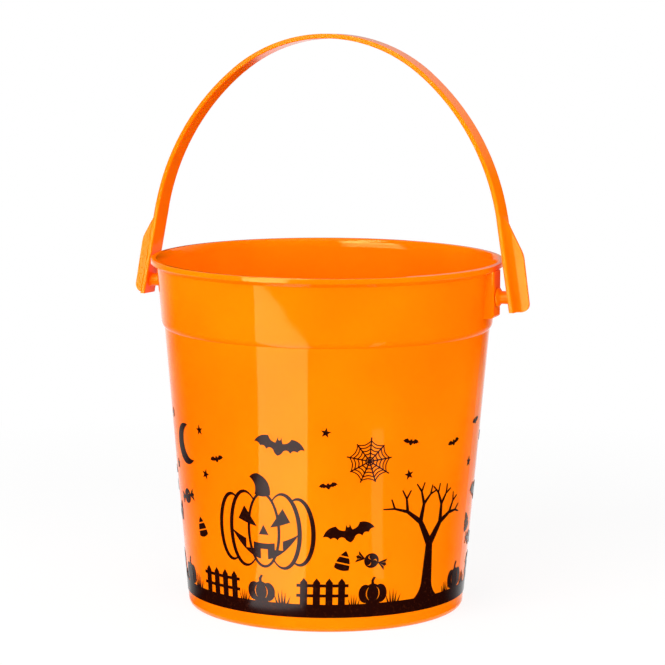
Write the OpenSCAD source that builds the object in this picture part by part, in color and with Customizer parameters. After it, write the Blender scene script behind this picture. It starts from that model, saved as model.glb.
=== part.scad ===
// Candy pail for trick-or-treating: a tapered plastic bucket, a swinging bail and a printed film wrap.
// The origin is at the centre of the base on the table, +Z is up, and the bail's two pins lie along X.
// A place round the pail is an angle from the front, which is -Y, towards the pin on +X.

/* [Pail] */
// Height of the pail, from the table to the top of its rim
pail_h = 171; // [160:1:185]
// Radius of the rim's outer edge
rim_r = 86; // [85.5:0.1:92]
// Radius that the outside of the lower wall would have at the table
base_r = 67.4; // [62:0.1:71]
// Thickness of the wall, measured level
wall = 1.5; // [1.2:0.1:2]
// Thickness of the floor
floor_t = 1.8; // [1.4:0.1:3]
// How far the rim stands out past the wall
rim_lip = 2.9; // [2.4:0.1:3.2]
// Height of the rim's outer face
rim_t = 2.6; // [2:0.1:3.6]
// Height of the slope under the rim
rim_slope = 1.7; // [1:0.1:2.6]
// Depth of the upper band, from the top of the rim to its step
band_h = 30.2; // [26:0.2:36]
// How far the upper band stands out past the lower wall
band_step = 1.2; // [0.6:0.1:1.4]
// Height over which the band's rounded lower edge runs in to the lower wall
step_h = 3.2; // [2:0.1:4]
// Radius of the flare inside the mouth
mouth_round = 7; // [4:0.5:9]
// Angle that the flare turns through, up to the flat top of the rim
mouth_turn = 42; // [30:1:48]
// Outer radius where the wall turns into the base
foot_round = 3; // [2:0.1:4]
// Width of the ring that the pail stands on
foot_w = 6; // [5:0.1:12]
// How far the floor's underside is lifted off the table
foot_lift = 2; // [1:0.1:3.5]
// Radius of the moulding gate's round mark under the floor
gate_r = 4; // [2:0.1:8]

/* [Bosses] */
// Depth of the pins' axis below the top of the rim
pin_drop = 15.3; // [14:0.1:18]
// Width of each boss
boss_w = 10.6; // [8:0.1:14]
// How far each boss goes down below the pins' axis
boss_drop = 10; // [6:0.1:11]
// How far the face of each boss stands past the rim's edge
boss_proud = 0.5; // [0.1:0.1:1]
// Radius of the upright edges of each boss
boss_round = 0.6; // [0.3:0.1:2]
// Radius of the lower edge of each boss's face
boss_foot = 1.8; // [0.5:0.1:3]

/* [Bail] */
// Height of the strap's middle over the pins' axis, at the top of the arch
bail_rise = 122.4; // [115:0.1:132]
// Gap between the rim's edge and the inside of the bail, at the pins
bail_gap = 7.3; // [6.5:0.1:10]
// Width of the strap and of both ears
strap_w = 13.2; // [11:0.1:16]
// Thickness of the strap
strap_t = 2.2; // [1.6:0.1:2.6]
// Radius of the strap's edges
strap_round = 0.6; // [0.3:0.05:0.75]
// Radius of the arch's crown, at the strap's middle
crown_r = 76; // [68:0.5:80]
// Angle from the top of the arch to the end of the crown, on each side
crown_sweep = 39; // [30:1:44]
// Lean of each leg from upright
leg_flare = 9.6; // [7:0.1:11]
// Lean of the whole bail from upright, towards the back, as it stands at rest
bail_lean = 2.5; // [0:0.1:4]
// Thickness of each ear at its thickest, from the inside of the strap to the edge of the fin
ear_t = 8.8; // [7:0.1:10]
// How much less the fin stands out at its lower end
ear_taper = 0.4; // [0:0.1:1]
// Height of the ear's thickest place over the pins' axis
ear_rise = 19.8; // [16:0.1:26]
// Length over which the fin runs out into the strap
ear_ramp = 19; // [8:0.5:24]
// How far the ear goes down below the pins' axis
ear_drop = 6.7; // [6:0.1:9]
// Radius of the fin's lower corner
ear_round = 3.8; // [1:0.1:4.5]
// Thickness of the fin down the outside of the ear
fin_t = 1.8; // [1.2:0.1:3]
// How far the fin stands behind the middle of the strap
fin_back = 1.3; // [0:0.1:2]
// Radius of the hollow on each side of the fin, where it meets the strap
fin_hollow = 2.2; // [0.5:0.1:2.6]

/* [Pins] */
// Radius of the pin between the ear and the collar
shank_r = 3.1; // [2.8:0.05:3.6]
// Radius of the collar beside the boss
collar_r = 4.6; // [4:0.1:5.5]
// Thickness of the collar's edge
collar_t = 0.7; // [0.5:0.1:1.2]
// Length of the slope from the collar to the pin
collar_slope = 1.1; // [0.6:0.1:1.6]
// Radius of the pin in its hole
journal_r = 2.5; // [2:0.05:2.7]
// Gap all round between the pin and its hole
run_gap = 0.07; // [0.04:0.01:0.1]
// Gap to the boss on one side and to the wall on the other, along the pin
side_play = 0.4; // [0.3:0.05:0.6]
// Radius of the snap head inside the pail
snap_r = 3.3; // [3:0.05:3.8]
// Length of the snap head
snap_len = 3; // [2:0.1:4]
// Width of the slot that lets the snap head close
snap_slot = 1.1; // [0.8:0.1:1.4]

/* [Print] */
// Thickness of the printed film
film_t = 0.15; // [0.1:0.01:0.2]
// Height of the lower edge of the film's ground strip
ground_z = 7.5; // [6:0.1:10]
// Height of the ground strip
ground_h = 6.5; // [4:0.1:9]
// Height of the fence over the ground strip
fence_h = 13; // [10:0.1:14]
// Height of the top of the picture
picture_top = 102; // [96:1:118]
// Width of the carved pumpkin
lantern_w = 50; // [40:0.5:54]
// Wing span of the large bats
bat_w = 25; // [18:0.5:30]
// Wing span of the small bats
small_bat_w = 9; // [6:0.5:12]
// Radius of the round web
web_r = 11; // [8:0.5:14]
// Radius of the moon
moon_r = 10; // [8:0.5:13]
// Radius of the stars' points
star_r = 2.6; // [1.8:0.1:3.4]
// Place of the bare tree round the pail
tree_at = 64; // [58:1:70]
// Height of the bare tree
tree_h = 60; // [48:1:62]
// Height of each candy corn
corn_h = 10; // [7:0.5:12]
// Width of each wrapped sweet
sweet_w = 15; // [11:0.5:18]

/* [Hidden] */

// One millimetre, for small allowances
mm = 1;
// Overrun of every cut
over = mm;
// Steps in a quarter turn of a drawn curve, and on a full circle
quarter = 8;
round_fn = 96;

// Upright places on the pail
pin_z = pail_h - pin_drop;
wall_top_z = pail_h - rim_t - rim_slope;
step_z = pail_h - band_h;
wall_top_r = rim_r - rim_lip;
// Taper of the wall, as radius gained for height
taper = (wall_top_r - band_step - base_r) / wall_top_z;
draft = atan(taper);
function low_r(z) = base_r + taper * z;
function high_r(z) = low_r(z) + band_step;
boss_face = rim_r + boss_proud;
hole_r = journal_r + run_gap;

// The crown and the legs are a hair stouter than the flanks between them, and lap over their ends
skin = mm / 20;
lap = mm;
leg_t = strap_t + 2 * skin;
leg_w = strap_w + 2 * skin;
// Where the middle of the leg crosses the pins' axis
leg_x = rim_r + bail_gap + strap_t / 2 / cos(leg_flare);
crown_z = pin_z + bail_rise - crown_r;
flank_end = 90 - leg_flare;
crown_end_sweep = crown_sweep + atan(lap / crown_r);
crown_end = [crown_r * sin(crown_sweep), crown_z + crown_r * cos(crown_sweep)];
// The flank's arc leaves the crown and runs into the leg without a kink, which sets its radius
flank_run = [sin(flank_end) - sin(crown_sweep), cos(flank_end) - cos(crown_sweep)];
flank_r = (leg_x - crown_end[0] - (crown_end[1] - pin_z) * tan(leg_flare))
        / (flank_run[0] + flank_run[1] * tan(leg_flare));
flank_centre = [(crown_r - flank_r) * sin(crown_sweep), crown_z + (crown_r - flank_r) * cos(crown_sweep)];
leg_top = [flank_centre[0] + flank_r * sin(flank_end), flank_centre[1] + flank_r * cos(flank_end)];
leg_up = (leg_top[1] - pin_z) / cos(leg_flare);

// Points of an arc about c, from one angle to another
function arc(c, r, from, to, steps) =
    [for (i = [0:steps]) let (a = from + (to - from) * i / steps) [c[0] + r * cos(a), c[1] + r * sin(a)]];
// Points from a to b that swell to the left of the way by a share of the length
function swell(a, b, share, steps) =
    [for (i = [0:steps - 1]) let (t = i / steps, d = b - a, s = 4 * share * t * (1 - t))
        [a[0] + d[0] * t - d[1] * s, a[1] + d[1] * t + d[0] * s]];
function oval(c, rx, ry, points) =
    [for (i = [0:points - 1]) let (a = 360 * i / points) [c[0] + rx * cos(a), c[1] + ry * sin(a)]];
function mirrored(points) = [for (i = [len(points) - 1:-1:0]) [-points[i][0], points[i][1]]];
function scaled(shares, size) = [for (p = shares) p * size];

// Block of w by h about the origin, with its four corners rounded
module round_block(w, h, r) {
    square([w, h - 2 * r], center = true);
    square([w - 2 * r, h], center = true);
    for (x = [-1, 1], y = [-1, 1])
        translate([x * (w / 2 - r), y * (h / 2 - r)]) circle(r, $fn = round_fn / 4);
}

// Pail

rim_edge = rim_t / 5;
foot_centre_r = base_r + taper * foot_round - foot_round / cos(draft);
floor_z = foot_lift + floor_t;
inner_round = foot_round;
recess_r = base_r - foot_w;
// The band's lower edge is an arc that leaves the band without a kink and ends in a corner on the lower wall
step_in = band_step + taper * step_h;
step_turn = 2 * (atan(step_in / step_h) - draft);
step_r = norm([step_in, step_h]) / 2 / sin(step_turn / 2);
step_centre = [high_r(step_z) - step_r * cos(draft), step_z + step_r * sin(draft)];

module pail_outside() {
    rotate_extrude($fn = 2 * round_fn)
        polygon(concat(
            [[0, 0]],
            arc([foot_centre_r, foot_round], foot_round, -90, -draft, quarter),
            arc(step_centre, step_r, -draft - step_turn, -draft, quarter),
            [[wall_top_r, wall_top_z],
             [rim_r - rim_edge / 2, pail_h - rim_t], [rim_r, pail_h - rim_t + rim_edge / 2]],
            arc([rim_r - rim_edge, pail_h - rim_edge], rim_edge, 0, 90, quarter / 2),
            [[0, pail_h]]));
}

// The room inside the pail, its mouth flared up to a soft edge at the flat top of the rim
module pail_room() {
    flare_z = pail_h - rim_edge - (mouth_round - rim_edge) * sin(mouth_turn);
    flare_x = high_r(flare_z) - wall + mouth_round;
    edge_x = flare_x - (mouth_round - rim_edge) * cos(mouth_turn);
    corner_r = low_r(floor_z + inner_round) - wall - inner_round;
    rotate_extrude($fn = 2 * round_fn)
        polygon(concat(
            [[0, floor_z]],
            arc([corner_r, floor_z + inner_round], inner_round, -90, 0, quarter),
            [[low_r(step_z - step_h) - wall, step_z - step_h], [high_r(step_z) - wall, step_z]],
            arc([flare_x, flare_z], mouth_round, 180, 180 - mouth_turn, quarter),
            arc([edge_x, pail_h - rim_edge], rim_edge, 180 - mouth_turn, 90, quarter / 2),
            [[edge_x, pail_h + over], [0, pail_h + over]]));
}

// Block that the pin's hole goes through, from inside the wall to a flat face that rounds off at its foot
module boss_block() {
    low = pin_z - boss_drop;
    intersection() {
        translate([0, 0, low])
            linear_extrude(pail_h - rim_t - low)
                translate([boss_face / 2, 0]) round_block(boss_face, boss_w, boss_round);
        rotate([90, 0, 0]) linear_extrude(boss_w + over, center = true)
            polygon(concat([[0, low]],
                           arc([boss_face - boss_foot, low + boss_foot], boss_foot, -90, 0, quarter),
                           [[boss_face, pail_h], [0, pail_h]]));
    }
}

module pail() {
    color("darkorange")
    difference() {
        union() {
            pail_outside();
            for (turn = [0, 180]) rotate(turn) boss_block();
        }
        pail_room();
        for (turn = [0, 180]) rotate(turn)
            translate([0, 0, pin_z]) rotate([0, 90, 0])
                cylinder(r = hole_r, h = boss_face + over, $fn = round_fn);
        difference() {
            translate([0, 0, -over])
                cylinder(r1 = recess_r + over * taper, r2 = recess_r - foot_lift * taper,
                         h = foot_lift + over, $fn = 2 * round_fn);
            translate([0, 0, foot_lift / 2]) cylinder(r = gate_r, h = foot_lift, $fn = round_fn);
        }
    }
}

// Bail

// Arc of strap in the upright plane of the pins, its angles measured from +X
module strap_arc(c, r, from, to, extra) {
    translate([c[0], 0, c[1]]) rotate([90, 0, 0]) rotate(from)
        rotate_extrude(angle = to - from, $fn = 4 * round_fn)
            translate([r, 0]) round_block(strap_t + 2 * extra, strap_w + 2 * extra, strap_round);
}

// A leg's own frame: across the strap, along the pins, and up the leg from the pins' axis
module on_leg() {
    translate([leg_x, 0, pin_z]) rotate([0, -leg_flare, 0]) children();
}

// Edge of the fin and top of the ear's outline, in the leg's own frame. The fin runs out straight, to the
// middle of the strap.
fin_x = ear_t - leg_t / 2;
fin_fall = (fin_x - leg_t / 2) / ear_ramp;
ear_top = ear_rise + fin_x / fin_fall;

// Ear's outline in the upright plane of the pins, in the leg's own frame: straight inside, level under the
// pin, widest over the pin, run out into the strap
module ear_outline() {
    inside = -leg_t / 2;
    soft = ear_round / 2;
    round_x = fin_x - ear_taper - ear_round;
    function level(x, up) = (up - ear_drop - x * sin(leg_flare)) / cos(leg_flare);
    polygon(concat(
        [[inside, level(inside, 0)]],
        arc([round_x, level(round_x, ear_round)], ear_round, -90 - leg_flare, 0, quarter),
        [[fin_x, ear_rise - soft], [fin_x - soft * fin_fall / 4, ear_rise],
         [fin_x - soft * fin_fall, ear_rise + soft], [0, ear_top], [0, ear_rise], [inside, ear_rise]]));
}

// Ear's level section: the strap, and a flat fin on its outside that runs into it with a hollow each side
module ear_section() {
    hollow_x = leg_t / 2 + fin_hollow;
    round_block(leg_t, leg_w, strap_round);
    translate([0, fin_back - fin_t / 2]) square([ear_t, fin_t]);
    for (side = [-1, 1]) {
        hollow_y = fin_back + side * (fin_t / 2 + fin_hollow);
        difference() {
            polygon([[0, fin_back], [hollow_x, fin_back], [hollow_x, hollow_y], [0, hollow_y]]);
            translate([hollow_x, hollow_y]) circle(fin_hollow, $fn = round_fn / 2);
        }
    }
}

module ear() {
    intersection() {
        rotate([90, 0, 0]) linear_extrude(leg_w + over, center = true) ear_outline();
        translate([0, 0, -ear_drop - ear_t]) linear_extrude(ear_drop + ear_t + ear_top + over) ear_section();
    }
}

// Pin from the ear through the boss to the snap head, turned about its axis, from the inside out
module pin() {
    snap_low = pin_z - snap_r;
    shoulder = sqrt(pow(high_r(snap_low) - wall, 2) - pow(snap_r, 2)) - side_play;
    collar_x = boss_face + side_play;
    tip = shoulder - snap_len;
    root = leg_x - strap_t / 2;
    root_slope = collar_slope / 2;
    difference() {
        translate([0, 0, pin_z]) rotate([0, 90, 0])
            rotate_extrude($fn = round_fn)
                polygon([[0, tip], [journal_r - snap_slot / 2, tip], [snap_r, shoulder - snap_len / 4],
                         [snap_r, shoulder], [journal_r, shoulder], [journal_r, collar_x],
                         [collar_r, collar_x], [collar_r, collar_x + collar_t],
                         [shank_r, collar_x + collar_t + collar_slope], [shank_r, root - root_slope],
                         [shank_r + root_slope, root], [shank_r + root_slope, leg_x], [0, leg_x]]);
        translate([tip - over, -snap_slot / 2, pin_z - snap_r - over])
            cube([snap_len + over + boss_w / 4, snap_slot, 2 * (snap_r + over)]);
    }
}

module half_bail() {
    strap_arc(flank_centre, flank_r, 90 - flank_end, 90 - crown_sweep, 0);
    on_leg() {
        linear_extrude(leg_up + lap) round_block(leg_t, leg_w, strap_round);
        ear();
    }
    pin();
}

module bail() {
    color("orange")
        translate([0, 0, pin_z]) rotate([-bail_lean, 0, 0]) translate([0, 0, -pin_z]) {
            strap_arc([0, crown_z], crown_r, 90 - crown_end_sweep, 90 + crown_end_sweep, skin);
            half_bail();
            mirror([1, 0, 0]) half_bail();
        }
}

// Print: black transfer film on the lower wall. Its picture is made of traditional figures of the season and
// goes round the pail twice. Places are angles from the front and shares of the height from the ground
// strip's top to the picture's top.

repeats = [0, 180];
// Half the angle that the widest figure may take up
figure_half = 25;
sky_z = ground_z + ground_h;
function sky(share) = sky_z + share * (picture_top - sky_z);

// Film that lies on the wall from height z0 to z1, for an angle to each side of the front
module film(z0, z1, half) {
    rotate(-90 - half)
        rotate_extrude(angle = 2 * half, $fn = 2 * round_fn)
            polygon([[low_r(z0), z0], [low_r(z0) + film_t, z0], [low_r(z1) + film_t, z1], [low_r(z1), z1]]);
}

// Bar that runs out through the wall at the front, its section a flat figure seen from outside and tilted.
// reach is the most that the figure goes over or under its height z.
module figure_bar(z, reach, tilt = 0) {
    deep = low_r(z - reach) * cos(figure_half);
    translate([0, -deep, z]) rotate([90, 0, 0])
        linear_extrude(low_r(z + reach) - deep + over) rotate(tilt) children();
}

// Puts a flat figure on the wall at an angle from the front
module stamp(angle, z, reach, tilt = 0) {
    rotate(angle)
        intersection() {
            film(z - reach, z + reach, figure_half);
            figure_bar(z, reach, tilt) children();
        }
}

// Stamps a figure at each place of a table of [angle, height share, tilt], on both turns of the picture
module stamp_all(place_shares, reach) {
    for (turn = repeats, place = place_shares)
        stamp(turn + place[0], sky(place[1]), reach, place[2]) children();
}

// Ground strip with a picket fence, grass and small pumpkins

// The strip's figures come in plots of equal width. The tree stands in one of each turn's plots, where the
// fence would be.
plots = 8;
plot_w = 360 / plots;
plot_half = low_r(sky_z) * sin(plot_w / 2);
tree_plot = 1;
pickets = 4;
picket_w = fence_h / 4;
picket_step = picket_w * 1.8;
picket_tip = fence_h / 6;
rail_h = fence_h / 9;
rail_place_shares = [0.28, 0.66];
fence_half = (pickets - 1) * picket_step / 2 + picket_w;
fence_x = fence_half + mm / 2 - plot_half;
fence_turn = asin(fence_x / low_r(sky_z));
patch_w = fence_h * 1.05;
patch_x = plot_half - patch_w * 1.18;
ground_turn = tree_at - fence_turn - (tree_plot + 0.5) * plot_w;

module picket() {
    polygon([[-picket_w / 2, -over], [picket_w / 2, -over], [picket_w / 2, fence_h - picket_tip],
             [0, fence_h], [-picket_w / 2, fence_h - picket_tip]]);
}

module fence() {
    for (i = [0:pickets - 1]) translate([picket_w - fence_half + i * picket_step, 0]) picket();
    for (share = rail_place_shares)
        translate([-fence_half, share * fence_h]) square([2 * fence_half, rail_h]);
}

// Small pumpkin in silhouette, its ribs left bare
module patch_pumpkin(w) {
    h = w * 0.72;
    line = w / 26;
    points = 3 * quarter;
    difference() {
        union() {
            for (side = [-1, 1]) polygon(oval([side * w * 0.27, h / 2], w * 0.24, h * 0.46, points));
            polygon(oval([0, h / 2], w * 0.3, h / 2, points));
            polygon([[-w * 0.06, h * 0.9], [w * 0.05, h * 0.9], [w * 0.03, h * 1.14], [w * 0.1, h * 1.3],
                     [w * 0.02, h * 1.34], [-w * 0.06, h * 1.16]]);
            translate([-w / 4, -over]) square([w / 2, h / 2]);
        }
        for (side = [-1, 1])
            difference() {
                polygon(oval([side * w * 0.05, h / 2], w * 0.2, h * 0.36, points));
                polygon(oval([side * (w * 0.05 - line), h / 2], w * 0.2, h * 0.4, points));
            }
    }
}

// Blades of grass that lean out from the middle of a tuft
module grass_tuft(h) {
    lean_shares = [-0.5, -0.22, 0.06, 0.3, 0.62];
    height_shares = [0.62, 0.95, 1, 0.8, 0.55];
    for (i = [0:len(lean_shares) - 1])
        translate([lean_shares[i] * h * 0.6, -over])
            polygon([[-h / 12, 0], [h / 12, 0], [lean_shares[i] * h * 0.45, height_shares[i] * h + over]]);
}

module ground_figures(fenced) {
    if (fenced) translate([fence_x, 0]) fence();
    translate([patch_x, 0]) patch_pumpkin(patch_w);
    translate([patch_x + patch_w * 0.73, 0]) grass_tuft(fence_h * 0.5);
    translate([patch_x - patch_w * 0.69, 0]) grass_tuft(fence_h * 0.38);
}

module print_ground() {
    reach = fence_h * 1.2;
    film_top = sky_z + reach;
    color("black")
        rotate(ground_turn) intersection() {
            rotate_extrude($fn = 2 * round_fn)
                polygon([[low_r(ground_z), ground_z], [low_r(ground_z) + film_t, ground_z],
                         [low_r(film_top) + film_t, film_top], [low_r(film_top), film_top]]);
            union() {
                translate([0, 0, ground_z - over]) cylinder(r = rim_r, h = ground_h + over, $fn = round_fn);
                for (i = [0:plots - 1]) rotate((i + 0.5) * plot_w)
                    figure_bar(sky_z, reach) ground_figures(i % (plots / len(repeats)) != tree_plot);
            }
        }
}

// Carved pumpkin drawn in line, with its eyes, nose and grin filled

lantern_line = lantern_w / 38;
lantern_h = lantern_w * 0.76;
lantern_lobe_shares = [[0, 0.17, 0.37], [0.2, 0.175, 0.375], [0.35, 0.15, 0.335]];

// Outline of one lobe, drawn thicker on the side away from the middle
module lobe_line(c, rx, ry) {
    shift = -sign(c) * lantern_line * 0.5;
    difference() {
        polygon(oval([c, 0], rx, ry, 5 * quarter));
        polygon(oval([c + shift, 0], rx - lantern_line, ry - lantern_line, 5 * quarter));
    }
}

module lantern_lobes() {
    for (side = [-1, 1], i = [0:len(lantern_lobe_shares) - 1]) {
        lobe = lantern_lobe_shares[i] * lantern_w;
        front = lantern_lobe_shares[max(i - 1, 0)] * lantern_w;
        difference() {
            lobe_line(side * lobe[0], lobe[1], lobe[2]);
            if (i > 0) polygon(oval([side * front[0], 0], front[1], front[2], 5 * quarter));
        }
    }
}

module lantern_face() {
    eye_shares = [[0.07, 0.03], [0.165, 0.052], [0.27, 0.09], [0.2, 0.22]];
    nose_shares = [[-0.05, -0.045], [0.05, -0.045], [0, 0.05]];
    corner_shares = [0.35, -0.02];
    tooth_share = 0.075;
    for (side = [-1, 1]) polygon([for (p = eye_shares) [side * p[0], p[1]] * lantern_w]);
    polygon(scaled(nose_shares, lantern_w));
    corner = corner_shares * lantern_w;
    other = [-corner[0], corner[1]];
    tooth = tooth_share * lantern_w;
    difference() {
        polygon(concat(swell(corner, other, 0.38, 3 * quarter), swell(other, corner, -0.16, 3 * quarter)));
        for (side = [-1, 1])
            translate([side * 2 * tooth, -1.5 * tooth]) square([1.1 * tooth, 2 * tooth], center = true);
        translate([-tooth / 2, -lantern_h / 2]) square([tooth, 2.6 * tooth]);
    }
}

module lantern_stem() {
    root = [0.08, 0.345] * lantern_w;
    tip = [[-0.13, 0.51], [-0.05, 0.55]] * lantern_w;
    polygon(concat(
        swell([root[0], root[1]], [-root[0], root[1]], 0.12, quarter / 2),
        swell([-root[0], root[1]], tip[0], -0.18, quarter),
        swell(tip[0], tip[1], 0.1, quarter / 2),
        swell(tip[1], [root[0], root[1]], 0.2, quarter)));
}

lantern_place_shares = [[-4, 0.4, 0]];

module print_lantern() {
    color("black")
        stamp_all(lantern_place_shares, lantern_w * 0.58) {
            lantern_lobes();
            lantern_face();
            lantern_stem();
        }
}

// Bats

// Half of a bat with its wings spread: from between the ears to the tail, n points to a curve
function bat_half(w, n) =
    let (ear_shares = [[0, 0.11], [0.02, 0.115], [0.035, 0.17], [0.055, 0.095]],
         neck = [0.07, 0.055] * w, wrist = [0.23, 0.17] * w, tip = [0.5, 0.0] * w,
         hooks = [[0.37, -0.06], [0.24, -0.105], [0.1, -0.085], [0, -0.19]] * w)
    concat(scaled(ear_shares, w), swell(neck, wrist, -0.16, n), swell(wrist, tip, 0.16, n),
           swell(tip, hooks[0], -0.2, n), swell(hooks[0], hooks[1], -0.28, n),
           swell(hooks[1], hooks[2], -0.28, n), swell(hooks[2], hooks[3], 0.1, n), [hooks[3]]);

module bat(w, n) {
    half = bat_half(w, n);
    polygon(concat(half, mirrored(half)));
}

bat_place_shares = [[3, 0.87, -8], [29, 0.4, 10], [104, 0.5, -6]];
small_bat_place_shares = [[-24, 0.76, 14], [52, 0.88, -10], [21, 0.66, 8], [74, 0.84, 12], [-66, 0.6, -12],
                          [92, 0.92, 6]];

module print_bats() {
    color("black") stamp_all(bat_place_shares, bat_w / 2) bat(bat_w, quarter - 2);
}

module print_small_bats() {
    color("black") stamp_all(small_bat_place_shares, small_bat_w / 2) bat(small_bat_w, quarter / 4);
}

// Round web: spokes, and threads that sag in from spoke to spoke

module web() {
    spokes = 9;
    steps = quarter / 2;
    thread = web_r / 18;
    turn_shares = [0.2, 0.38, 0.56, 0.74, 0.9];
    sag_share = 0.16;
    spoke_end_shares = [1, 0.94, 1.05, 0.97, 1.03, 0.95, 1, 0.96, 1.06];
    function ring(r) =
        [for (i = [0:spokes - 1], k = [0:steps - 1])
            let (t = k / steps, a = 360 * (i + t) / spokes, sag = 1 - sag_share * 4 * t * (1 - t))
                [cos(a), sin(a)] * r * sag];
    for (i = [0:spokes - 1]) rotate(360 * i / spokes)
        translate([0, -thread / 2]) square([web_r * spoke_end_shares[i], thread]);
    for (share = turn_shares)
        difference() {
            polygon(ring(web_r * share + thread / 2));
            polygon(ring(web_r * share - thread / 2));
        }
}

web_place_shares = [[36, 0.79, 7]];

module print_web() {
    color("black") stamp_all(web_place_shares, web_r * 1.1) web();
}

// Moon and stars

module moon() {
    bite_share = 0.5;
    difference() {
        circle(moon_r, $fn = round_fn);
        translate([bite_share, bite_share / 2] * moon_r) circle(moon_r * 0.86, $fn = round_fn);
    }
}

moon_place_shares = [[-44, 0.8, -12]];

module print_moon() {
    color("black") stamp_all(moon_place_shares, moon_r * 1.1) moon();
}

module star(r) {
    inner_share = 0.4;
    polygon([for (i = [0:9]) let (a = 90 + 36 * i) [cos(a), sin(a)] * r * (i % 2 == 0 ? 1 : inner_share)]);
}

star_place_shares = [[-33, 0.9, 8], [-31, 0.66, -14], [-58, 0.94, 20], [-56, 0.66, 4], [20, 0.95, -10],
                     [52, 0.7, 12], [88, 0.7, -6], [108, 0.8, 18]];

module print_stars() {
    color("black") stamp_all(star_place_shares, star_r * 1.1) star(star_r);
}

// Bare tree: each branch forks into two, thinner and shorter

module branch(len, w, fork, left) {
    thin_share = 0.62;
    polygon([[-w / 2, 0], [w / 2, 0], [w * thin_share / 2, len], [-w * thin_share / 2, len]]);
    translate([0, len]) {
        circle(w * thin_share / 2, $fn = 2 * quarter);
        if (left > 0) {
            rotate(fork[0]) branch(len * 0.74, w * thin_share, [fork[0] * 0.8, fork[1] * 1.15], left - 1);
            rotate(fork[1]) branch(len * 0.66, w * thin_share, [fork[0] * 1.1, fork[1] * 0.85], left - 1);
        }
    }
}

module tree() {
    trunk = tree_h * 0.3;
    w = tree_h / 9;
    polygon(concat(swell([w * 1.1, 0], [w / 2, trunk / 2], 0.12, quarter),
                   swell([w / 2, trunk / 2], [-w / 2, trunk / 2], 0, 1),
                   swell([-w / 2, trunk / 2], [-w * 1.1, 0], 0.12, quarter), [[-w * 1.1, 0]]));
    translate([0, trunk * 0.45]) branch(trunk, w, [30, -34], 4);
}

tree_place_shares = [[tree_at, 0, 0]];

module print_tree() {
    color("black") stamp_all(tree_place_shares, tree_h * 1.02) tree();
}

// Sweets

// Candy corn: a rounded wedge in three bands
module candy_corn() {
    w = corn_h * 0.72;
    gap = corn_h / 14;
    band_shares = [0.36, 0.7];
    difference() {
        polygon(concat(swell([-w / 2, corn_h * 0.1], [w / 2, corn_h * 0.1], -0.12, quarter),
                       swell([w / 2, corn_h * 0.1], [0, corn_h], -0.1, quarter),
                       swell([0, corn_h], [-w / 2, corn_h * 0.1], -0.1, quarter)));
        for (share = band_shares) translate([-w, share * corn_h - gap / 2]) square([2 * w, gap]);
    }
}

candy_corn_place_shares = [[-35, 0.3, 16], [26, 0.19, -14], [-60, 0.34, -20], [94, 0.3, 22]];

module print_candy_corn() {
    color("black") stamp_all(candy_corn_place_shares, corn_h * 1.1) candy_corn();
}

// Wrapped sweet: a ball with a curl left bare, and a pleated fan at each end
module sweet() {
    ball = sweet_w * 0.24;
    gap = sweet_w / 30;
    difference() {
        circle(ball, $fn = round_fn / 2);
        for (turn = [0:120:240]) rotate(turn)
            polygon(concat(swell([gap, 0], [ball - gap, 0], 0.28, quarter),
                           swell([ball - gap, 0], [gap, 0], -0.5, quarter)));
    }
    for (side = [-1, 1]) scale([side, 1])
        difference() {
            polygon([[ball * 0.92, 0], [sweet_w / 2, -ball * 0.8], [sweet_w / 2 - gap, -ball * 0.3],
                     [sweet_w / 2 + gap, 0], [sweet_w / 2 - gap, ball * 0.3], [sweet_w / 2, ball * 0.8]]);
            for (y = [-1, 1])
                polygon([[ball * 1.3, y * gap / 4], [sweet_w / 2, y * ball * 0.3],
                         [sweet_w / 2, y * ball * 0.42]]);
        }
}

sweet_place_shares = [[38, 0.24, -18], [-47, 0.5, 14], [-80, 0.24, -10]];

module print_sweets() {
    color("black") stamp_all(sweet_place_shares, sweet_w * 0.6) sweet();
}

pail();
bail();
print_ground();
print_lantern();
print_tree();
print_bats();
print_small_bats();
print_web();
print_moon();
print_stars();
print_candy_corn();
print_sweets();
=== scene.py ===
import math

import bpy
from mathutils import Matrix, Vector

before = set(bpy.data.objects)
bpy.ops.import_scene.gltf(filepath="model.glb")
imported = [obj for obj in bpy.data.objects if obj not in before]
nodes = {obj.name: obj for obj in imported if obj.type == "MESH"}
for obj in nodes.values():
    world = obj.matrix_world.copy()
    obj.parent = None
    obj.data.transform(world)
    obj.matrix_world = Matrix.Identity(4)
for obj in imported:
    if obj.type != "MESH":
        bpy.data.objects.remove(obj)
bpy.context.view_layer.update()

# Pail
# One injection moulding in orange polypropylene, satin gloss as it leaves the polished mould. It is thin enough
# to let some light through. Nesting in a stack leaves fine upright rubs on the outside of the wall.

ORANGE = (0.98, 0.172, 0.0006)
DEEP_ORANGE = (0.96, 0.143, 0.0003)
PALE_ORANGE = (1.0, 0.205, 0.0012)
SHEEN_TINT = (1.0, 0.85, 0.25)
PLASTIC_IOR = 1.49
WALL_RUBS = (260.0, 260.0, 7.0)
RUBBED_DULLER = 0.04


def new_material(name):
    material = bpy.data.materials.new(name)
    material.use_nodes = True
    material.node_tree.nodes.clear()
    return material, material.node_tree.nodes, material.node_tree.links


def place(tree_nodes, kind, **settings):
    """Adds a shader node and sets its sockets or its own settings by name."""
    node = tree_nodes.new(kind)
    for key, value in settings.items():
        if key in node.inputs:
            node.inputs[key].default_value = value
        else:
            setattr(node, key, value)
    return node


def wear(material, obj):
    """Puts one material on every slot of a CAD node."""
    if not obj.data.materials:
        obj.data.materials.append(material)
    for i in range(len(obj.data.materials)):
        obj.data.materials[i] = material


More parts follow.
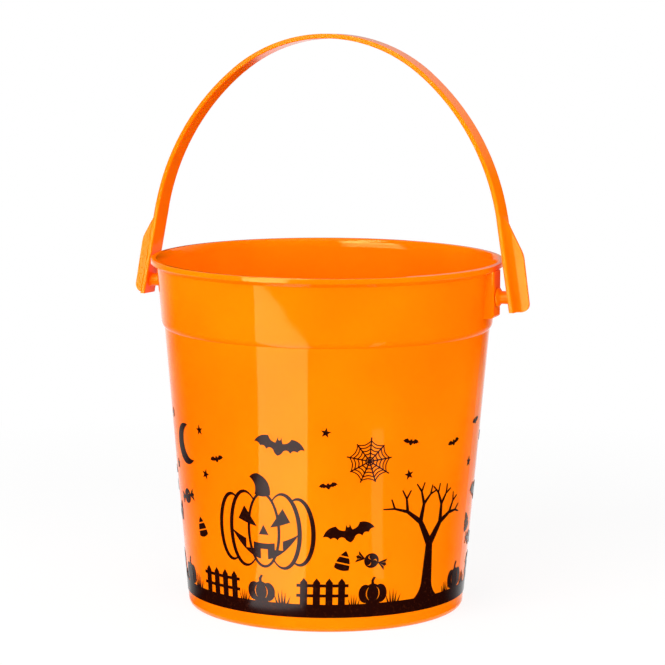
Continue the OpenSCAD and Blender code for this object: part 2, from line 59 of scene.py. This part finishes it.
def moulded_polypropylene(name, rubs, roughness, shine):
    """Orange polypropylene: drifting tint, orange-peel skin, and fine rubs, long where their scale is small."""
    material, n, l = new_material(name)
    out = place(n, "ShaderNodeOutputMaterial")
    skin = place(n, "ShaderNodeBsdfPrincipled")
    skin.inputs["IOR"].default_value = PLASTIC_IOR
    skin.inputs["Specular IOR Level"].default_value = shine
    skin.inputs["Specular Tint"].default_value = (*SHEEN_TINT, 1)
    skin.inputs["Subsurface Weight"].default_value = 0.35
    skin.inputs["Subsurface Radius"].default_value = (1.0, 0.22, 0.03)
    skin.inputs["Subsurface Scale"].default_value = 0.004
    l.new(skin.outputs[0], out.inputs["Surface"])
    where = place(n, "ShaderNodeTexCoord")

    drift = place(n, "ShaderNodeTexNoise", Scale=11.0, Detail=2.0)
    tint = place(n, "ShaderNodeValToRGB")
    tint.color_ramp.elements[0].position = 0.3
    tint.color_ramp.elements[0].color = (*DEEP_ORANGE, 1)
    tint.color_ramp.elements[1].position = 0.7
    tint.color_ramp.elements[1].color = (*PALE_ORANGE, 1)
    middle = tint.color_ramp.elements.new(0.5)
    middle.color = (*ORANGE, 1)
    l.new(where.outputs["Object"], drift.inputs["Vector"])
    l.new(drift.outputs[0], tint.inputs[0])
    l.new(tint.outputs[0], skin.inputs["Base Color"])

    stretch = place(n, "ShaderNodeMapping")
    stretch.inputs["Scale"].default_value = rubs
    rub = place(n, "ShaderNodeTexNoise", Scale=1.0, Detail=4.0, Roughness=0.6)
    l.new(where.outputs["Object"], stretch.inputs[0])
    l.new(stretch.outputs[0], rub.inputs["Vector"])
    rough = place(n, "ShaderNodeMapRange")
    rough.inputs["From Min"].default_value = 0.35
    rough.inputs["From Max"].default_value = 0.75
    rough.inputs["To Min"].default_value = roughness
    rough.inputs["To Max"].default_value = roughness + RUBBED_DULLER
    l.new(rub.outputs[0], rough.inputs[0])
    l.new(rough.outputs[0], skin.inputs["Roughness"])

    peel = place(n, "ShaderNodeTexNoise", Scale=300.0, Detail=0.5)
    l.new(where.outputs["Object"], peel.inputs["Vector"])
    peel_bump = place(n, "ShaderNodeBump", Strength=0.015, Distance=0.0002)
    rub_bump = place(n, "ShaderNodeBump", Strength=0.03, Distance=0.00008)
    l.new(peel.outputs[0], peel_bump.inputs["Height"])
    l.new(rub.outputs[0], rub_bump.inputs["Height"])
    l.new(rub_bump.outputs[0], peel_bump.inputs["Normal"])
    l.new(peel_bump.outputs[0], skin.inputs["Normal"])
    return material


wear(moulded_polypropylene("pail_polypropylene", WALL_RUBS, roughness=0.035, shine=0.3), nodes["pail"])

# Bail
# A second moulding in the same orange, with its pins, collars and slotted snap heads in one. The snap heads are
# pushed through the pail's bosses and open behind the wall, and the bail swings on the pins.

STRAP_RUBS = (9.0, 300.0, 30.0)

wear(moulded_polypropylene("bail_polypropylene", STRAP_RUBS, roughness=0.11, shine=0.2), nodes["bail"])

# Print
# Black ink on transfer film, rolled hot onto the lower wall. It is thin, a little glossy like the wall under it,
# and browner and duller in the lean spots where the ink lies less thick.

INK = (0.012, 0.0014, 0.0006)
LEAN_INK = (0.050, 0.008, 0.001)

ink, n, l = new_material("transfer_ink")
out = place(n, "ShaderNodeOutputMaterial")
film = place(n, "ShaderNodeBsdfPrincipled")
film.inputs["IOR"].default_value = PLASTIC_IOR
film.inputs["Specular IOR Level"].default_value = 0.16
l.new(film.outputs[0], out.inputs["Surface"])
where = place(n, "ShaderNodeTexCoord")
lean = place(n, "ShaderNodeTexNoise", Scale=650.0, Detail=5.0, Roughness=0.65)
cover = place(n, "ShaderNodeValToRGB")
cover.color_ramp.elements[0].position = 0.55
cover.color_ramp.elements[0].color = (*INK, 1)
cover.color_ramp.elements[1].position = 0.8
cover.color_ramp.elements[1].color = (*LEAN_INK, 1)
l.new(where.outputs["Object"], lean.inputs["Vector"])
l.new(lean.outputs[0], cover.inputs[0])
l.new(cover.outputs[0], film.inputs["Base Color"])
sheen = place(n, "ShaderNodeMapRange")
sheen.inputs["To Min"].default_value = 0.13
sheen.inputs["To Max"].default_value = 0.23
l.new(lean.outputs[0], sheen.inputs[0])
l.new(sheen.outputs[0], film.inputs["Roughness"])
grain = place(n, "ShaderNodeBump", Strength=0.1, Distance=0.00005)
l.new(lean.outputs[0], grain.inputs["Height"])
l.new(grain.outputs[0], film.inputs["Normal"])
for name, obj in nodes.items():
    if name.startswith("print_"):
        wear(ink, obj)

# Table
# A plain matt white table top. It keeps the pail's soft shadow and pales with distance into the white of the
# studio, and it looks a little paler seen directly than it does in the gloss of the plastic.

TABLE_RADIUS = 7.0
TABLE_WHITE = 0.96
SPECK = 0.01
PALES_FROM = 0.25
PALES_TO = 0.9
PALE_NEAR = 0.66
PALER_SEEN = 0.2

bpy.ops.mesh.primitive_circle_add(vertices=128, radius=TABLE_RADIUS, fill_type="NGON")
table = bpy.context.object
table.name = "table_top"
paint, n, l = new_material("table_paint")
out = place(n, "ShaderNodeOutputMaterial")
matt = place(n, "ShaderNodeBsdfPrincipled", Roughness=0.9)
matt.inputs["Specular IOR Level"].default_value = 0.0
where = place(n, "ShaderNodeTexCoord")
speck = place(n, "ShaderNodeTexNoise", Scale=60.0, Detail=3.0)
tone = place(n, "ShaderNodeMapRange")
tone.inputs["To Min"].default_value = TABLE_WHITE - SPECK
tone.inputs["To Max"].default_value = TABLE_WHITE + SPECK
l.new(where.outputs["Object"], speck.inputs["Vector"])
l.new(speck.outputs[0], tone.inputs[0])
l.new(tone.outputs[0], matt.inputs["Base Color"])
far = place(n, "ShaderNodeVectorMath", operation="LENGTH")
fade = place(n, "ShaderNodeMapRange", interpolation_type="SMOOTHSTEP")
fade.inputs["From Min"].default_value = PALES_FROM
fade.inputs["From Max"].default_value = PALES_TO
fade.inputs["To Min"].default_value = PALE_NEAR
path = place(n, "ShaderNodeLightPath")
paleness = place(n, "ShaderNodeMath", operation="MULTIPLY_ADD", use_clamp=True)
paleness.inputs[1].default_value = PALER_SEEN
studio = place(n, "ShaderNodeEmission", Color=(1, 1, 1, 1), Strength=1.0)
mix = place(n, "ShaderNodeMixShader")
l.new(where.outputs["Object"], far.inputs[0])
l.new(far.outputs["Value"], fade.inputs[0])
l.new(path.outputs["Is Camera Ray"], paleness.inputs[0])
l.new(fade.outputs[0], paleness.inputs[2])
l.new(paleness.outputs[0], mix.inputs[0])
l.new(matt.outputs[0], mix.inputs[1])
l.new(studio.outputs[0], mix.inputs[2])
l.new(mix.outputs[0], out.inputs["Surface"])
paint.cycles.emission_sampling = "NONE"
table.data.materials.append(paint)

# Studio
# A white room of even light, with soft lamps in front, to the left and right, and a weak one at each side for the
# edges. The wall leans out and mirrors the table, so a long lit card on it makes the pale band down the front. Dark
# felt all round keeps the rest of the gloss quiet. The cards and the felt show in the gloss alone.

ROOM_GLOW = 0.53

world = bpy.data.worlds.new("white_room")
bpy.context.scene.world = world
world.use_nodes = True
n, l = world.node_tree.nodes, world.node_tree.links
n.clear()
out = place(n, "ShaderNodeOutputWorld")
seen = place(n, "ShaderNodeBackground", Color=(1, 1, 1, 1), Strength=1.0)
room = place(n, "ShaderNodeBackground", Color=(1, 1, 1, 1), Strength=ROOM_GLOW)
path = place(n, "ShaderNodeLightPath")
glossy = place(n, "ShaderNodeMath", operation="MAXIMUM")
clear = place(n, "ShaderNodeMath", operation="MAXIMUM")
mix = place(n, "ShaderNodeMixShader")
l.new(path.outputs["Is Camera Ray"], glossy.inputs[0])
l.new(path.outputs["Is Glossy Ray"], glossy.inputs[1])
l.new(glossy.outputs[0], clear.inputs[0])
l.new(path.outputs["Is Transmission Ray"], clear.inputs[1])
l.new(clear.outputs[0], mix.inputs[0])
l.new(room.outputs[0], mix.inputs[1])
l.new(seen.outputs[0], mix.inputs[2])
l.new(mix.outputs[0], out.inputs["Surface"])

LAMP_AIM = Vector((0, 0, 0.11))
LAMP_DISTANCE = 1.5


def soft_lamp(name, azimuth, elevation, size, watts):
    """Square lamp that faces the pail's middle from an azimuth measured from the front towards +X."""
    light = bpy.data.lights.new(name, "AREA")
    light.shape = "SQUARE"
    light.size = size
    light.energy = watts
    lamp = bpy.data.objects.new(name, light)
    bpy.context.scene.collection.objects.link(lamp)
    a, e = math.radians(azimuth), math.radians(elevation)
    towards = Vector((math.sin(a) * math.cos(e), -math.cos(a) * math.cos(e), math.sin(e)))
    lamp.location = LAMP_AIM + LAMP_DISTANCE * towards
    lamp.rotation_euler = (lamp.location - LAMP_AIM).to_track_quat("Z", "Y").to_euler()
    lamp.visible_camera = False
    lamp.visible_glossy = False


soft_lamp("key_lamp", azimuth=-12.0, elevation=24.0, size=1.2, watts=21.8)
soft_lamp("side_lamp", azimuth=38.0, elevation=18.0, size=1.0, watts=11.5)
soft_lamp("right_edge_lamp", azimuth=115.0, elevation=12.0, size=1.2, watts=5.5)
soft_lamp("left_edge_lamp", azimuth=-80.0, elevation=12.0, size=1.2, watts=3.0)

LIT_CARD_OUTLINE = ((-0.033, -0.085), (0.014, -0.095), (0.065, -0.482), (0.073, -0.497), (0.014, -0.532),
                    (-0.067, -0.562), (-0.151, -0.584), (-0.214, -0.597), (-0.296, -0.577))
LOW_CARD_OUTLINE = ((0.271, -0.223), (0.302, -0.182), (0.106, -0.072), (0.098, -0.085))
TABLE_CARD_HEIGHT = 0.0008
UPRIGHT_CARD_DISTANCE = 1.2


def glossy_card(name, points, faces, glows):
    """Card that shows in the gloss of the plastic alone, with a glow at each point. A glow of 0 is dark felt."""
    mesh = bpy.data.meshes.new(name)
    mesh.from_pydata(points, [], faces)
    mesh.attributes.new("glow", "FLOAT", "POINT").data.foreach_set("value", glows)
    obj = bpy.data.objects.new(name, mesh)
    bpy.context.scene.collection.objects.link(obj)
    material, n, l = new_material(name)
    out = place(n, "ShaderNodeOutputMaterial")
    light = place(n, "ShaderNodeEmission", Color=(1, 1, 1, 1))
    glow = place(n, "ShaderNodeAttribute", attribute_name="glow")
    l.new(glow.outputs["Fac"], light.inputs["Strength"])
    l.new(light.outputs[0], out.inputs["Surface"])
    material.cycles.emission_sampling = "NONE"
    mesh.materials.append(material)
    obj.visible_camera = False
    obj.visible_diffuse = False
    obj.visible_shadow = False
    obj.visible_transmission = False


def table_card(name, outline, glow):
    """Evenly lit card that lies on the table, on the felt."""
    points = [(x, y, TABLE_CARD_HEIGHT) for x, y in outline]
    glossy_card(name, points, [tuple(range(len(points)))], [glow] * len(points))


def around(azimuth, radius, height):
    """Point at an azimuth from the front towards +X, at a distance from the pail's axis and a height."""
    a = math.radians(azimuth)
    return radius * math.sin(a), -radius * math.cos(a), height


def upright_card(name, azimuth, half, fade, rows):
    """Standing card, half its width to each side of its azimuth. Its glow is set by rows of (height, glow), and
    fades to nothing over fade degrees more at each side."""
    columns = ((-half - fade, 0), (-half, 1), (half, 1), (half + fade, 0))
    points = [around(azimuth + side, UPRIGHT_CARD_DISTANCE, height)
              for height, glow in rows for side, share in columns]
    faces = [(4 * j + i, 4 * j + i + 1, 4 * j + i + 5, 4 * j + i + 4)
             for j in range(len(rows) - 1) for i in range(3)]
    glossy_card(name, points, faces, [glow * share for height, glow in rows for side, share in columns])


table_card("lit_card", LIT_CARD_OUTLINE, 5.0)
table_card("low_card", LOW_CARD_OUTLINE, 2.0)

FELT_HEIGHT = 0.0004
FELT_RADIUS = 2.0
FELT_FOLD = 0.45
LOW_SIDES = ((122, 148), (176, 200))
HIGH_SIDES = ((115, 142), (115, 170))


def felt(name, rings):
    """Felt round the pail in rings of (radius, height, most glow, left, right). Each ring is black in front and
    pales to its most glow between the two azimuths of left, and of right."""
    def share(azimuth, start, end):
        t = min(max((azimuth - start) / (end - start), 0), 1)
        return t * t * (3 - 2 * t)

    azimuths = list(range(-160, 201, 3))
    wide = len(azimuths)
    points, glows = [], []
    for radius, height, most, left, right in rings:
        for azimuth in azimuths:
            points.append(around(azimuth, radius, height))
            glows.append(most * max(share(-azimuth, *left), share(azimuth, *right)))
    faces = [(wide * j + i, wide * j + i + 1, wide * (j + 1) + i + 1, wide * (j + 1) + i)
             for j in range(len(rings) - 1) for i in range(wide - 1)]
    glossy_card(name, points, faces, glows)


felt("table_felt", ((0.07, FELT_HEIGHT, 1, (58, 86), (90, 120)),
                    (0.1, FELT_HEIGHT, 1, (68, 100), (103, 138)),
                    (0.15, FELT_HEIGHT, 1, (75, 114), (112, 156)),
                    (0.27, FELT_HEIGHT, 0.9, (86, 134), (124, 178)),
                    (0.4, FELT_HEIGHT, 0.8, (92, 140), (132, 188)),
                    (0.55, FELT_HEIGHT, 0.9, (98, 142), (141, 191)),
                    (0.66, FELT_HEIGHT, 0.9, (104, 142), (157, 187)),
                    (0.9, FELT_HEIGHT, 1, (100, 138), (158, 189)),
                    (FELT_RADIUS, FELT_HEIGHT, 1, (105, 140), (150, 195))))
felt("low_felt", ((FELT_RADIUS, FELT_HEIGHT, 0.5, *LOW_SIDES), (FELT_RADIUS, FELT_FOLD, 0.5, *LOW_SIDES)))
felt("high_felt", ((FELT_RADIUS, FELT_FOLD, 0.5, *LOW_SIDES),
                   (FELT_RADIUS, 1.1, 1, *HIGH_SIDES), (FELT_RADIUS, 3.3, 1, *HIGH_SIDES)))

# A dark card close behind the pail, to the left, keeps the room's white off the plastic that faces that way.
glossy_card("back_card", [(-0.15, 0.12, 0.15), (0.0, 0.12, 0.15), (0.0, 0.12, 0.22), (-0.15, 0.12, 0.22)],
            [(0, 1, 2, 3)], [0.0] * 4)
upright_card("front_card", azimuth=-19, half=13, fade=3, rows=((0.02, 14.0), (0.165, 14.0)))
upright_card("tall_card", azimuth=-15, half=19, fade=7,
             rows=((0.24, 0.0), (0.34, 8.0), (0.9, 7.0), (1.2, 17.0), (2.3, 17.0)))

# Camera
# It stands in front, to the right, 341 mm over the table and 1.44 m from the pail's axis, and looks down at it
# through a long lens.

CAMERA_AZIMUTH = 20.3
CAMERA_OUT = 1.439312
CAMERA_UP = 0.341074
CAMERA_ASIDE = 0.104
CAMERA_DOWN = 8.19
CAMERA_ROLL = 0.302

view = bpy.data.cameras.new("camera")
view.sensor_width = 36.0
view.lens = 161.07
camera = bpy.data.objects.new("camera", view)
bpy.context.scene.collection.objects.link(camera)
turn = Matrix.Rotation(math.radians(CAMERA_AZIMUTH) - math.radians(CAMERA_ASIDE), 4, "Z")
tilt = Matrix.Rotation(math.radians(90 - CAMERA_DOWN), 4, "X")
roll = Matrix.Rotation(math.radians(CAMERA_ROLL), 4, "Z")
spot = Matrix.Translation(around(CAMERA_AZIMUTH, CAMERA_OUT, CAMERA_UP))
camera.matrix_world = spot @ turn @ tilt @ roll
bpy.context.scene.camera = camera

bpy.context.scene.view_settings.view_transform = "Standard"
